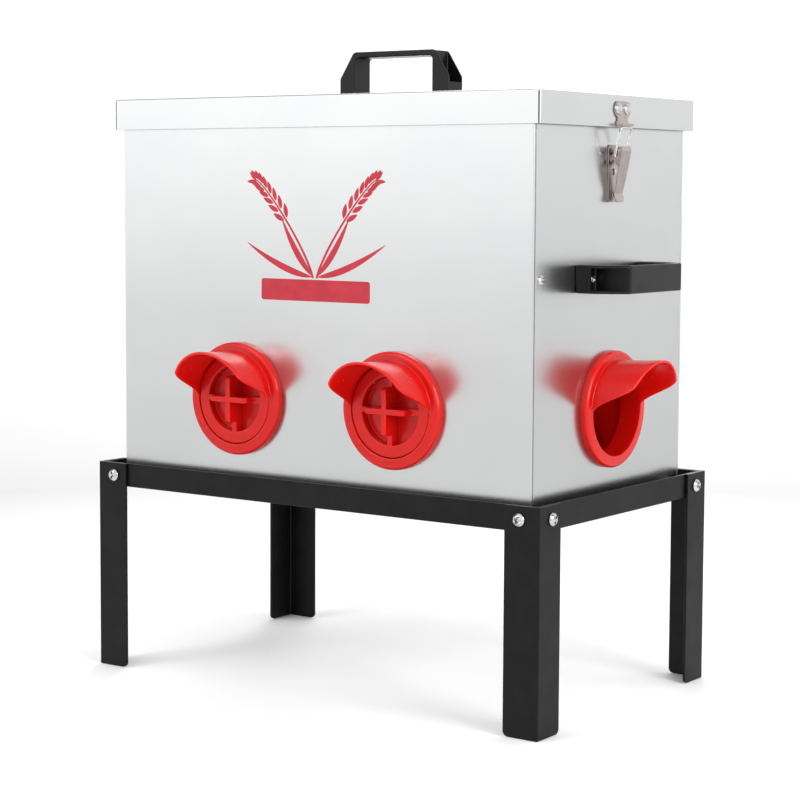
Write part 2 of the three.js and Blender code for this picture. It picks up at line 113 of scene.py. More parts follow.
def fillet(points, radius, steps=4, closed=True):
    """A 2-D outline with each corner rounded. radius is one number or one for each point."""
    out, count = [], len(points)
    for i, point in enumerate(points):
        r = radius[i] if isinstance(radius, (list, tuple)) else radius
        if r <= 0 or (not closed and i in (0, count - 1)):
            out.append(Vector(point))
            continue
        before, here, after = Vector(points[i - 1]), Vector(point), Vector(points[(i + 1) % count])
        u, v = (before - here), (after - here)
        room = 0.49 * min(u.length, v.length)
        u.normalize()
        v.normalize()
        half = u.angle(v) / 2
        if half > math.radians(88):
            out.append(here)
            continue
        run = min(r / math.tan(half), room)
        r = run * math.tan(half)
        centre = here + (u + v).normalized() * (r / math.sin(half))
        start, end = here + u * run - centre, here + v * run - centre
        turn = math.atan2(start.x * end.y - start.y * end.x, start.dot(end))
        for k in range(steps + 1):
            a = turn * k / steps
            out.append(centre + Vector((start.x * math.cos(a) - start.y * math.sin(a),
                                        start.x * math.sin(a) + start.y * math.cos(a))))
    return out


def metres(points):
    """Pairs of mm turned into metres."""
    return [(a * MM, b * MM) for a, b in points]


PLANES = {
    "xz": lambda u, v, w: Vector((u, w, v)),
    "yz": lambda u, v, w: Vector((w, u, v)),
    "xy": lambda u, v, w: Vector((u, v, w)),
}


def prism(name, outline, plane, low, high, material):
    """A 2-D outline in a plane, extruded from low to high along the third axis."""
    place = PLANES[plane]
    rings = [[place(p[0], p[1], w) for p in outline] for w in (low, high)]
    return add_object(name, *loft(rings), material)


def cuboid(name, low, high, material):
    outline = [(low[0], low[1]), (high[0], low[1]), (high[0], high[1]), (low[0], high[1])]
    return prism(name, outline, "xy", low[2], high[2], material)


def apply_modifiers(obj):
    deps = bpy.context.evaluated_depsgraph_get()
    mesh = bpy.data.meshes.new_from_object(obj.evaluated_get(deps))
    obj.modifiers.clear()
    old = obj.data
    obj.data = mesh
    bpy.data.meshes.remove(old)
    mesh.name = obj.name
    return obj


def boolean(obj, tool, operation="DIFFERENCE"):
    mod = obj.modifiers.new("boolean", "BOOLEAN")
    mod.operation, mod.solver, mod.object = operation, "EXACT", tool
    bpy.context.view_layer.update()
    apply_modifiers(obj)
    bpy.data.objects.remove(tool)


def bevel(obj, width, segments=2, angle=30.0):
    mod = obj.modifiers.new("bevel", "BEVEL")
    mod.width, mod.segments = width, segments
    mod.limit_method, mod.angle_limit = "ANGLE", math.radians(angle)
    mod.miter_outer = "MITER_ARC"
    return apply_modifiers(obj)


def solidify(obj, thick):
    mod = obj.modifiers.new("solid", "SOLIDIFY")
    mod.thickness, mod.offset, mod.use_even_offset = thick, -1.0, True
    return apply_modifiers(obj)


def smooth(obj, angle=38.0, weighted=True):
    """Smooth shading with hard edges past an angle, and flat faces that stay flat."""
    obj.data.shade_smooth()
    obj.data.set_sharp_from_angle(angle=math.radians(angle))
    if weighted:
        mod = obj.modifiers.new("weighted", "WEIGHTED_NORMAL")
        mod.keep_sharp = True
        apply_modifiers(obj)
    return obj


def join(name, *objects):
    """One object from several, which keep their own closed shells."""
    mesh = bpy.data.meshes.new(name)
    bm = bmesh.new()
    for o in objects:
        start = len(bm.verts)
        bm.from_mesh(o.data)
        bm.verts.ensure_lookup_table()
        for v in list(bm.verts)[start:]:
            v.co = o.matrix_world @ v.co
    bm.to_mesh(mesh)
    bm.free()
    mesh.materials.append(objects[0].data.materials[0])
    for o in objects:
        bpy.data.objects.remove(o)
    obj = bpy.data.objects.new(name, mesh)
    scene.collection.objects.link(obj)
    return obj


def stands_for(obj, body, finish, *nodes):
    """The piece rides on its body and hides the CAD nodes it replaces; its finish argument is not used."""
    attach(obj, body)
    if nodes:
        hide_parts(*nodes)


def copy_of(obj, name, matrix):
    """Another object with the same mesh, moved by a matrix."""
    twin = bpy.data.objects.new(name, obj.data)
    scene.collection.objects.link(twin)
    twin.matrix_world = matrix @ obj.matrix_world
    return twin


def turn_z(degrees):
    return Matrix.Rotation(math.radians(degrees), 4, "Z")


def middle(node):
    low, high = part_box(node)
    return (low + high) / 2


# ---------------------------------------------------------------- materials
class Shader:
    """A Principled material whose colour, roughness and bump are built from procedural nodes."""

    def __init__(self, name, **settings):
        self.material = bpy.data.materials.new(name)
        self.material.use_nodes = True
        self.tree = self.material.node_tree
        self.principled = self.tree.nodes["Principled BSDF"]
        for key, value in settings.items():
            self.principled.inputs[key.replace("_", " ")].default_value = value
        self.coords = self.node("ShaderNodeTexCoord").outputs["Object"]

    def node(self, kind, **settings):
        made = self.tree.nodes.new(kind)
        for key, value in settings.items():
            if key in made.inputs:
                made.inputs[key].default_value = value
            else:
                setattr(made, key, value)
        return made

    def link(self, source, target):
        self.tree.links.new(source, target)

    def noise(self, scale, detail=3.0, stretch=(1, 1, 1), roughness=0.5):
        mapping = self.node("ShaderNodeMapping")
        mapping.inputs["Scale"].default_value = stretch
        noise = self.node("ShaderNodeTexNoise")
        noise.inputs["Scale"].default_value = scale
        noise.inputs["Detail"].default_value = detail
        noise.inputs["Roughness"].default_value = roughness
        self.link(self.coords, mapping.inputs["Vector"])
        self.link(mapping.outputs["Vector"], noise.inputs["Vector"])
        return noise.outputs["Fac"]

    def spread(self, value, low, high, start=0.3, end=0.7):
        """A 0..1 value between start and end mapped to low..high."""
        made = self.node("ShaderNodeMapRange")
        for key, number in (("From Min", start), ("From Max", end), ("To Min", low), ("To Max", high)):
            made.inputs[key].default_value = number
        self.link(value, made.inputs["Value"])
        return made.outputs["Result"]

    def colour(self, value, dark, light, start=0.35, end=0.65):
        ramp = self.node("ShaderNodeValToRGB")
        ramp.color_ramp.elements[0].position, ramp.color_ramp.elements[0].color = start, (*dark, 1)
        ramp.color_ramp.elements[1].position, ramp.color_ramp.elements[1].color = end, (*light, 1)
        self.link(value, ramp.inputs["Fac"])
        self.link(ramp.outputs["Color"], self.principled.inputs["Base Color"])

    def rough(self, value, low, high, start=0.3, end=0.7):
        self.link(self.spread(value, low, high, start, end), self.principled.inputs["Roughness"])

    def bump(self, value, strength, distance):
        made = self.node("ShaderNodeBump")
        made.inputs["Strength"].default_value = strength
        made.inputs["Distance"].default_value = distance
        self.link(value, made.inputs["Height"])
        self.link(made.outputs["Normal"], self.principled.inputs["Normal"])


def sheet_steel():
    s = Shader("satin_sheet_steel", Metallic=1.0)
    cloud = s.noise(7, 3, (1, 1, 1.4))
    grain = s.noise(700, 4, (5, 5, 0.35), 0.6)
    s.colour(cloud, (0.57, 0.575, 0.58), (0.597, 0.6, 0.602))
    s.rough(grain, 0.22, 0.26, 0.25, 0.75)
    s.bump(grain, 0.05, 0.012 * MM)
    return s.material


def powder_coat():
    s = Shader("black_powder_coat", Specular_IOR_Level=0.17)
    s.colour(s.noise(60, 3), (0.003, 0.003, 0.0032), (0.0052, 0.0052, 0.0054))
    s.rough(s.noise(35, 4), 0.42, 0.5)
    s.bump(s.noise(900, 3, (1, 1, 1), 0.55), 0.2, 0.06 * MM)
    return s.material


def moulded_black():
    s = Shader("moulded_black_plastic", Specular_IOR_Level=0.25)
    s.colour(s.noise(45, 3), (0.0022, 0.0022, 0.0024), (0.0042, 0.0042, 0.0044))
    s.rough(s.noise(70, 3), 0.34, 0.42)
    s.bump(s.noise(1500, 2), 0.2, 0.04 * MM)
    return s.material


def red_plastic():
    s = Shader("red_plastic", Specular_IOR_Level=0.33, Subsurface_Weight=0.7, Subsurface_Scale=0.009,
               Subsurface_Radius=(1.0, 0.12, 0.03))
    s.colour(s.noise(30, 3), (0.52, 0.0035, 0.0022), (0.56, 0.005, 0.003))
    s.rough(s.noise(55, 4), 0.22, 0.28)
    s.bump(s.noise(900, 2), 0.05, 0.01 * MM)
    return s.material


def latch_steel():
    s = Shader("latch_stainless_steel", Metallic=1.0)
    s.colour(s.noise(150, 3), (0.385, 0.33, 0.318), (0.45, 0.39, 0.378))
    grain = s.noise(900, 3, (6, 6, 0.8), 0.6)
    s.rough(grain, 0.22, 0.3)
    s.bump(grain, 0.05, 0.01 * MM)
    return s.material


def polished_wire():
    s = Shader("polished_steel_wire", Metallic=1.0)
    s.colour(s.noise(200, 3), (0.58, 0.56, 0.55), (0.7, 0.68, 0.67))
    s.rough(s.noise(500, 3), 0.08, 0.14)
    s.bump(s.noise(1500, 2), 0.05, 0.01 * MM)
    return s.material


def bright_zinc():
    s = Shader("bright_zinc", Metallic=1.0)
    s.colour(s.noise(240, 3), (0.45, 0.455, 0.46), (0.62, 0.625, 0.63))
    s.rough(s.noise(420, 3), 0.1, 0.17)
    s.bump(s.noise(1800, 2), 0.05, 0.01 * MM)
    return s.material


def red_print():
    s = Shader("red_print", Specular_IOR_Level=0.4)
    s.colour(s.noise(90, 3), (0.40, 0.012, 0.028), (0.46, 0.018, 0.036))
    s.rough(s.noise(200, 3), 0.38, 0.5)
    s.bump(s.noise(1400, 2), 0.05, 0.02 * MM)
    return s.material


def studio_floor():
    """A pale floor, a little greyer in a soft ring 1 to 3 m out: painted shade, which the front panel mirrors
    darker towards its bottom.
    """
    s = Shader("studio_floor", Specular_IOR_Level=0.1)
    near, far, reach = (0.9, 0.9, 0.9), (0.98, 0.98, 0.98), 8.0
    away = s.node("ShaderNodeVectorMath", operation="LENGTH")
    s.link(s.coords, away.inputs[0])
    s.colour(s.spread(away.outputs["Value"], 0.0, 1.0, 0.0, reach), near, far, 0.08, 0.8)
    ramp = s.tree.nodes["Color Ramp"].color_ramp
    # the grey tones of the ring are painted shade for the front panel's reflection
    for place, tone in ((0.16, 0.62), (0.27, 0.68), (0.42, 0.92)):
        ramp.elements.new(place).color = (tone, tone, tone, 1)
    s.rough(s.noise(6, 2), 0.75, 0.85)
    return s.material


STEEL, BLACK, PLASTIC, RED = sheet_steel(), powder_coat(), moulded_black(), red_plastic()
LATCH, WIRE, ZINC, INK = latch_steel(), polished_wire(), bright_zinc(), red_print()


# ---------------------------------------------------------------- hopper and lid
def folded_box(name, low, high, open_face):
    """A thin sheet box with rounded folds, open at the top or the bottom."""
    verts = [Vector((x, y, z)) for z in (low.z, high.z)
             for x, y in ((low.x, low.y), (high.x, low.y), (high.x, high.y), (low.x, high.y))]
    faces = [(0, 1, 5, 4), (1, 2, 6, 5), (2, 3, 7, 6), (3, 0, 4, 7)]
    faces.append((4, 5, 6, 7) if open_face == "bottom" else (3, 2, 1, 0))
    obj = add_object(name, verts, faces, STEEL)
    bm = bmesh.new()
    bm.from_mesh(obj.data)
    folds = [e for e in bm.edges if not e.is_boundary]
    bmesh.ops.bevel(bm, geom=folds, offset=FOLD, segments=4, affect="EDGES", profile=0.5)
    bm.to_mesh(obj.data)
    bm.free()
    solidify(obj, SHEET)
    return smooth(obj)


def lid():
    low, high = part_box("lid")
    shell = folded_box("lid_shell", low, high, "bottom")
    slit_depth, slit = 2.6 * MM, 1.1 * MM
    for sx in (-1, 1):
        for sy in (-1, 1):
            x = sorted((sx * (high.x - SHEET), sx * (high.x - SHEET - slit)))
            y = sorted((sy * (high.y + MM), sy * (high.y - slit_depth)))
            boolean(shell, cuboid("slit", (x[0], y[0], low.z - MM), (x[1], y[1], high.z - FOLD), None))
    pieces = [smooth(shell)]
    inset, hem, short = SHEET + 0.05 * MM, 0.9 * MM, 6 * MM
    bottom, top = low.z + 0.15 * MM, low.z + 9 * MM
    for sign in (-1, 1):
        y = sorted((sign * (high.y - inset), sign * (high.y - inset - hem)))
        x = sorted((sign * (high.x - inset), sign * (high.x - inset - hem)))
        pieces.append(cuboid("hem", (low.x + short, y[0], bottom), (high.x - short, y[1], top), STEEL))
        pieces.append(cuboid("hem", (x[0], low.y + short, bottom), (x[1], high.y - short, top), STEEL))
    for strip in pieces[1:]:
        smooth(bevel(strip, 0.3 * MM, 2))
    stands_for(join("lid_shell_with_hem", *pieces), "lid", "sheet_steel", "lid")


def hole_cutter(axis, at):
    """A plug along an axis that cuts a port's hole into a panel."""
    radius, half = TUBE + 0.5 * MM, 6 * MM
    tube = revolve("hole_cutter", [(0, -half), (radius, -half), (radius, half), (0, half)], None, 64)
    turn = Matrix.Rotation(math.radians(90), 4, "Z") if axis == "x" else Matrix.Identity(4)
    tube.data.transform(Matrix.Translation(at) @ turn)
    return tube


def side_panel(name):
    low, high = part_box(name)
    inset = Vector((0, SEAM, 0))
    panel = cuboid(f"{name}_sheet", low + inset, high - inset, STEEL)
    port = name.replace("side_panel", "port")
    boolean(panel, hole_cutter("x", Vector(((low.x + high.x) / 2, 0, middle(port).z))))
    bevel(panel, 0.3 * MM, 2)
    stands_for(smooth(panel), "hopper", "sheet_steel", name)


def face_panel(name):
    """The front or back panel: its upright edges are folded back and joggled in behind the side panels."""
    low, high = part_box(name)
    sign = 1 if low.y + high.y > 0 else -1
    face, back = (high.y, low.y) if sign > 0 else (low.y, high.y)
    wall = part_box("side_panel_right")[1].x
    joggle, lip, bend = face - sign * JOGGLE_END, face - sign * CORNER_LIP, 0.5 * MM
    edge = [(high.x, back), (high.x, joggle), (wall, lip), (wall, face)]
    radii = [0, bend, bend, CORNER_FOLD]
    path = fillet([(-x, y) for x, y in edge] + edge[::-1], radii + radii[::-1], 5, closed=False)
    verts = [Vector((p.x, p.y, z)) for z in (low.z, high.z) for p in path]
    size = len(path)
    faces = [(i, i + 1, size + i + 1, size + i) for i in range(size - 1)]
    panel = add_object(f"{name}_sheet", verts, faces, STEEL)
    inward = panel.data.polygons[size // 2].normal.y * sign < 0
    if inward:
        panel.data.flip_normals()
    solidify(panel, SHEET)
    kind = name.split("_")[0]
    for side in ("left", "right"):
        at = middle(f"port_{kind}_{side}")
        boolean(panel, hole_cutter("y", Vector((at.x, face - sign * SHEET / 2, at.z))))
    stands_for(smooth(panel), "hopper", "sheet_steel", name)


def floor_pan():
    low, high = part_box("floor_pan")
    pan = folded_box("floor_pan_sheet", low, high, "top")
    stands_for(pan, "hopper", "sheet_steel", "floor_pan")


# ---------------------------------------------------------------- printed emblem
def grain(centre, angle, length, width):
    """The outline of one kernel: a pointed oval."""
    half = []
    for k in range(9):
        t = k / 8
        half.append((length * (t - 0.5), width / 2 * math.sin(math.pi * t) ** 0.8 * (1 - 0.25 * t)))
    line = half + [(x, -y) for x, y in reversed(half[1:-1])]
    c, s = math.cos(angle), math.sin(angle)
    return [(centre[0] + x * c - y * s, centre[1] + x * s + y * c) for x, y in line]


def stroke(points, widths):
    """The outline of a line of varying width through the points."""
    left, right = [], []
    for i, p in enumerate(points):
        ahead = Vector(points[min(i + 1, len(points) - 1)]) - Vector(points[max(i - 1, 0)])
        side = Vector((-ahead.y, ahead.x)).normalized() * widths[i] / 2
        left.append(tuple(Vector(p) + side))
        right.append(tuple(Vector(p) - side))
    return left + right[::-1]


def sprig(side):
    """Half of a grain sprig that curves up and outwards: a stem, two long leaves and a row of kernels.

    In mm from the middle of the front and from the floor."""
    def stem(t):
        return (side * (2 + 66 * math.sin(t * 1.35) ** 1.25), 372 + 86 * math.sin(t * 1.5))

    line = [stem(k / 16) for k in range(17)]
    parts = [stroke(line, [2.4 - 1.4 * k / 16 for k in range(17)])]
    for k in range(8):
        t = 0.42 + 0.08 * k
        here, ahead = Vector(stem(t)), Vector(stem(t + 0.01))
        run = math.atan2(ahead.y - here.y, ahead.x - here.x)
        for flip in (-1, 1):
            lean = run + flip * 0.62
            reach = 8.4 - 0.35 * k
            parts.append(grain((here.x + reach * math.cos(lean), here.y + reach * math.sin(lean)),
                               lean - flip * 0.18, 13.5 - 0.5 * k, 5.4 - 0.2 * k))
    tip = Vector(stem(1.03))
    parts.append(grain((tip.x + side * 3.0, tip.y + 3.2), math.atan2(1, side * 0.9), 11, 4))
    for start, bend, end in (((3, 373), (34, 376), (76, 402)), ((3, 374), (22, 392), (37, 424))):
        curve = []
        for k in range(13):
            t = k / 12
            x = (1 - t) ** 2 * start[0] + 2 * t * (1 - t) * bend[0] + t * t * end[0]
            z = (1 - t) ** 2 * start[1] + 2 * t * (1 - t) * bend[1] + t * t * end[1]
            curve.append((side * x, z))
        widths = [0.5 + 5.5 * math.sin(math.pi * (k / 12) ** 0.8) ** 0.9 for k in range(13)]
        parts.append(stroke(curve, widths))
    return parts


def printed_emblem():
    """A generic grain sprig and a plain bar, printed on the front."""
    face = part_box("front_panel")[0].y
    under = face - 0.01 * MM
    made = []
    for i, outline in enumerate(sprig(-1) + sprig(1)):
        lift = 0.004 * MM * (i % 7)  # overlapping strokes lie in slightly different planes
        made.append(prism(f"sprig_{i}", metres(outline), "xz", face - PRINT - lift, under, INK))
    stands_for(smooth(join("printed_sprig", *made), weighted=False), "hopper", "red_plastic")
    half, low, high = 60, 351.5, 370.5
    bar = fillet(metres([(-half, low), (half, low), (half, high), (-half, high)]), 2.4 * MM)
    stands_for(prism("printed_bar", bar, "xz", face - PRINT, under, INK), "hopper", "red_plastic")


# ---------------------------------------------------------------- fasteners
def pan_screw(name, head, height, shank, length):
    """A pan-head screw with a cross recess. The head's underside is y = 0 and it faces -Y."""
    dome = fillet([(0, -height), (head * 0.62, -height), (head, -height * 0.35), (head, 0), (shank, 0),
                   (shank, length), (0, length)], [0, head * 0.8, height * 0.5, 0.1 * MM, 0, 0.3 * MM, 0], 5)
    screw = revolve(name, [tuple(p) for p in dome], ZINC, 48)
    arm, thick, depth = head * 0.6, head * 0.19, height * 0.88
    for turn in (20, 110):
        rings = []
        for y, grow in ((-height - 1 * MM, 1.25), (-height + depth, 0.45)):
            rings.append([Vector((sx * arm * grow, y, sz * thick * (0.6 + 0.4 * grow)))
                          for sx, sz in ((-1, -1), (1, -1), (1, 1), (-1, 1))])
        tool = add_object("recess", *loft(rings))
        tool.data.transform(Matrix.Rotation(math.radians(turn), 4, "Y"))
        boolean(screw, tool)
    return smooth(screw, 30)


def hex_nut(name, size, bore, thick):
    """A hexagon nut between y = 0 and y = thick."""
    turns = [math.radians(60 * k) for k in range(6)]
    outline = [(size * math.cos(a), size * math.sin(a)) for a in turns]
    nut = prism(name, outline, "xz", 0, thick, ZINC)
    start, end = -1 * MM, thick + 1 * MM
    tool = revolve("nut_bore", [(0, start), (bore, start), (bore, end), (0, end)], None, 32)
    boolean(nut, tool)
    bevel(nut, 0.35 * MM, 2)
    return smooth(nut)


def rivet(name, radius, height):
    """A domed rivet head on y = 0 that faces -Y."""
    profile = [(0, -height)]
    for k in range(1, 9):
        a = math.radians(90 * k / 8)
        profile.append((radius * math.sin(a), -height * math.cos(a) ** 0.8 if k < 8 else 0))
    profile.append((0, 0))
    return smooth(revolve(name, profile, ZINC, 40), 50, weighted=False)


def outward(x_sign=0, y_sign=0):
    """Turns a piece that faces -Y to face along the given axis."""
    if x_sign:
        return turn_z(90 * x_sign)
    return turn_z(0 if y_sign < 0 else 180)


def number_of(text):
    """A small number made from a name, the same in every run."""
    return sum((i + 1) * ord(c) for i, c in enumerate(text))


def stand_fasteners():
    screw = pan_screw("stand_screw_master", 5.8 * MM, 3.6 * MM, 3.0 * MM, 12.5 * MM)
    nut = hex_nut("stand_nut_master", 5.7 * MM, 3.05 * MM, 4.6 * MM)
    grip = STAND_SHEET + RAIL_SHEET + 0.6 * MM  # from the leg's face to the nut
    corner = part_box("leg_back_right")[1]
    for node in sorted(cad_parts):
        if not node.startswith("stand_screw"):
            continue
        at = middle(node)
        if node.endswith("face"):
            sign = 1 if at.y > 0 else -1
            turn, seat = outward(y_sign=sign), Vector((at.x, sign * corner.y, at.z))
        else:
            sign = 1 if at.x > 0 else -1
            turn, seat = outward(x_sign=sign), Vector((sign * corner.x, at.y, at.z))
        spin = Matrix.Rotation(math.radians(37 * (number_of(node) % 7)), 4, "Y")
        place = Matrix.Translation(seat) @ turn @ Matrix.Translation((0, -GAP, 0)) @ spin
        stands_for(copy_of(screw, f"{node}_pan", place), "hopper", "zinc_screw", node)
        nut_place = Matrix.Translation(seat) @ turn @ Matrix.Translation((0, grip, 0)) @ spin
        stands_for(copy_of(nut, node.replace("screw", "nut"), nut_place), "hopper", "zinc_screw")
    bpy.data.objects.remove(screw)
    bpy.data.objects.remove(nut)


def seam_screws():
    screw = pan_screw("seam_screw_master", 4.3 * MM, 2.1 * MM, 1.8 * MM, 4.6 * MM)
    for node in sorted(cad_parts):
        if node.startswith("seam_screw"):
            at = middle(node)
            sign = 1 if at.x > 0 else -1
            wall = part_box("side_panel_right")[1].x
            spin = Matrix.Rotation(math.radians(23 * (number_of(node) % 5)), 4, "Y")
            place = Matrix.Translation((sign * wall, at.y, at.z)) @ outward(x_sign=sign) @ spin
            stands_for(copy_of(screw, f"{node}_pan", place), "hopper", "zinc_screw", node)
    bpy.data.objects.remove(screw)


# ---------------------------------------------------------------- handles
def handle_mesh():
    """A bridge handle along X that stands on z = 0, with hollow feet open on their slanted ends."""
    end, height, width, inner = 61 * MM, 44.3 * MM, 24 * MM, 43 * MM
    upright, shoulder, grip, wall = 20 * MM, 45.5 * MM, 5.5 * MM, 2.4 * MM
    lip, back, past_end, past_top = 14.8 * MM, inner + 2.6 * MM, end + 8 * MM, height + 6 * MM
    base = GAP
    right = [(end, base), (end, upright), (shoulder, height)]
    under = [(inner, height - grip), (inner, base)]
    outline = right + [(-x, z) for x, z in reversed(right)] + [(-x, z) for x, z in reversed(under)] + under
    radii = [0, 4, 5, 5, 4, 0, 0, 3.5, 3.5, 0]
    body = prism("handle", fillet(outline, [r * MM for r in radii], 5), "xz", -width / 2, width / 2, PLASTIC)
    bevel(body, 1.5 * MM, 4, 60)
    for sign in (-1, 1):
        pocket = [(back, POCKET_FLOOR), (end - wall, POCKET_FLOOR), (end - wall, lip),
                  (past_end, lip + 0.6 * MM), (past_end, past_top), (back, past_top)]
        line = fillet([(sign * x, z) for x, z in pocket], [1.5 * MM, 1.5 * MM, 1 * MM, 0, 0, 0], 3)
        tool = prism("pocket", line, "xz", -width / 2 + wall, width / 2 - wall, None)
        bevel(tool, 1.8 * MM, 3, 60)
        boolean(body, tool)
    return smooth(body, 42)


def handles():
    master = handle_mesh()
    screw = pan_screw("handle_screw_master", 4.6 * MM, 2.8 * MM, 2.2 * MM, 8 * MM)
    to_side = Matrix.Rotation(math.radians(90), 4, "Y") @ turn_z(90)
    to_left = Matrix.Rotation(math.radians(-90), 4, "Y") @ turn_z(90)
    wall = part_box("side_panel_right")[1].x
    level = middle("side_handle_right").z
    sites = {
        "lid_handle": ("lid", Matrix.Translation((0, 0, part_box("lid")[1].z))),
        "side_handle_right": ("hopper", Matrix.Translation((wall, 0, level)) @ to_side),
        "side_handle_left": ("hopper", Matrix.Translation((-wall, 0, level)) @ to_left),
    }
    for node, (body, place) in sites.items():
        stands_for(copy_of(master, f"{node}_moulding", place), body, "black_plastic", node)
        for k, x in ((1, -53 * MM), (2, 53 * MM)):
            seat = Matrix.Translation((x, 0, POCKET_FLOOR + 0.05 * MM))
            spot = place @ seat @ Matrix.Rotation(math.radians(-90), 4, "X")
            stands_for(copy_of(screw, f"{node}_screw_{k}", spot), body, "zinc_screw")
    bpy.data.objects.remove(master)
    bpy.data.objects.remove(screw)


# ---------------------------------------------------------------- ports
def hood_reach(angle):
    """How far the hood stands out of the flange, at an angle in degrees from the top."""
    t = max(0.0, min(1.0, (HOOD_HALF - abs(angle)) / (HOOD_HALF - HOOD_FULL)))
    crown = HOOD_CROWN * max(0.0, math.cos(math.radians(min(90, 1.5 * abs(angle)))))
    return HOOD_LIP + (HOOD_REACH - HOOD_LIP + crown) * t * t * (3 - 2 * t)


def port_profile(angle):
    """The (radius, y) outline of the port at one angle: tube, hood, rims and flange. -Y is outwards."""
    face = -FLANGE - GAP
    reach = hood_reach(angle)
    rim = min(1.0 * MM, reach)
    root = min(0.9 * MM, max(0.05 * MM, reach - rim))
    flare = HOOD_FLARE * (reach - rim) / (HOOD_REACH + HOOD_CROWN)
    mid, half = (BORE + TUBE) / 2, (TUBE - BORE) / 2
    points = [(BORE, STUB - 0.3 * MM), (BORE, 4 * MM), (BORE, -3 * MM)]
    for k in range(9):
        t = k / 8
        points.append((BORE + flare * t ** 2, face - (reach - rim) * t))
    for k in range(1, 6):
        a = math.pi * k / 6
        points.append((mid + flare - half * math.cos(a), face - (reach - rim) - rim * math.sin(a)))
    for k in range(8, -1, -1):
        t = k / 8
        points.append((TUBE + flare * t ** 2, face - root - (reach - rim - root) * t))
    for k in range(1, 5):
        a = math.radians(90 * k / 4)
        points.append((TUBE + root * (1 - math.cos(a)), face - root * (1 - math.sin(a))))
    edge, edge_round, seat = 51 * MM, 3.4 * MM, -0.05 * MM
    for k in range(8):
        a = math.radians(90 * k / 7)
        points.append((edge - edge_round * (1 - math.sin(a)), face + edge_round * (1 - math.cos(a))))
    points += [(edge, -0.2 * MM), (edge - 0.15 * MM, seat), (TUBE + 0.5 * MM, seat), (TUBE, 0.3 * MM),
               (TUBE, STUB - 0.4 * MM), (TUBE - 0.4 * MM, STUB), (BORE + 0.4 * MM, STUB)]
    return points


def port_mesh(steps=144):
    rings = []
    for i in range(steps):
        angle = -180 + 360 * i / steps
        a = math.radians(angle)
        rings.append([Vector((r * math.sin(a), y, r * math.cos(a))) for r, y in port_profile(angle)])
    return smooth(add_object("port", *loft(rings, loop=True), RED), 44, weighted=False)


def elbow_mesh(sides=48, bends=16):
    start, straight, mouth = SHEET + GAP, 12 * MM, 6 * MM
    spine = [(start, 0.0, 0.0), (start + 0.6 * MM, 0.0, 0.0)]
    for k in range(bends + 1):
        a = math.radians(90 * k / bends)
        spine.append((start + straight + ELBOW_BEND * math.sin(a), -ELBOW_BEND * (1 - math.cos(a)), a))
    spine.append((start + straight + ELBOW_BEND, -ELBOW_BEND - mouth, math.radians(90)))

    def ring(radius, station):
        y, z, lean = station
        out = []
        for k in range(sides):
            a = 2 * math.pi * k / sides
            up = radius * math.cos(a)
            out.append(Vector((radius * math.sin(a), y + up * math.sin(lean), z + up * math.cos(lean))))
        return out

    rings = [ring(ELBOW_OUT, s) for s in spine] + [ring(ELBOW_IN, s) for s in reversed(spine)]
    elbow = add_object("elbow", *loft(rings, loop=True), RED)
    bevel(elbow, 0.5 * MM, 2, 60)
    return smooth(elbow, 40, weighted=False)


def plug_mesh():
    """A cup that fills the port, with four spokes and a raised cross grip."""
    face, floor, skirt, wall = -FLANGE, PLUG_DEPTH - FLANGE, 8 * MM, 2.3 * MM
    profile = fillet(
        [(0, floor), (PLUG_RECESS, floor), (PLUG_RECESS, face), (PLUG_R, face), (PLUG_R, skirt),
         (PLUG_R - wall, skirt), (PLUG_R - wall, floor + 2.5 * MM), (0, floor + 2.5 * MM)],
        [0, 1.2 * MM, 1.3 * MM, 1.2 * MM, 0.6 * MM, 0.6 * MM, 1 * MM, 0], 4)
    cup = revolve("plug", [tuple(p) for p in profile], RED, 96)
    fin, thick, proud, spoke = 21 * MM, 5.2 * MM, 9.5 * MM, 5 * MM
    root = floor + 1.2 * MM
    reach = PLUG_RECESS + 1.2 * MM
    for upright in (False, True):
        turn = Matrix.Rotation(math.radians(90 if upright else 0), 4, "Y")
        arm = cuboid("spoke", (-reach, face + 0.1 * MM, -spoke / 2), (reach, root, spoke / 2), RED)
        bevel(arm, 0.5 * MM, 2)
        arm.data.transform(turn)
        boolean(cup, arm, "UNION")
        line = fillet([(-fin, root), (fin, root), (fin, face - proud), (-fin, face - proud)],
                      [0, 0, 3.5 * MM, 3.5 * MM], 5)
        blade = prism("fin", line, "xy", -thick / 2, thick / 2, RED)
        bevel(blade, 1.1 * MM, 3, 50)
        blade.data.transform(turn)
        boolean(cup, blade, "UNION")
    return smooth(cup, 40)


def ports():
    port, elbow, plug = port_mesh(), elbow_mesh(), plug_mesh()
    turns = {"front": 0, "back": 180, "left": -90, "right": 90}
    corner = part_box("side_panel_right")[1]
    for node in sorted(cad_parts):
        if not node.startswith("port_"):
            continue
        where = node[len("port_"):]
        side = where.split("_")[0]
        at = middle(node)
        seats = {"front": (at.x, -corner.y), "back": (at.x, corner.y),
                 "left": (-corner.x, 0), "right": (corner.x, 0)}
        place = Matrix.Translation((*seats[side], at.z)) @ turn_z(turns[side])
        stands_for(copy_of(port, f"{node}_moulding", place), "hopper", "red_plastic", node)
        chute, stopper = f"elbow_{where}", f"plug_{where}"
        stands_for(copy_of(elbow, f"{chute}_moulding", place), "hopper", "red_plastic", chute)
        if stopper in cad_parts:
            stands_for(copy_of(plug, f"{stopper}_moulding", place), stopper, "red_plastic", stopper)
    for master in (port, elbow, plug):
        bpy.data.objects.remove(master)


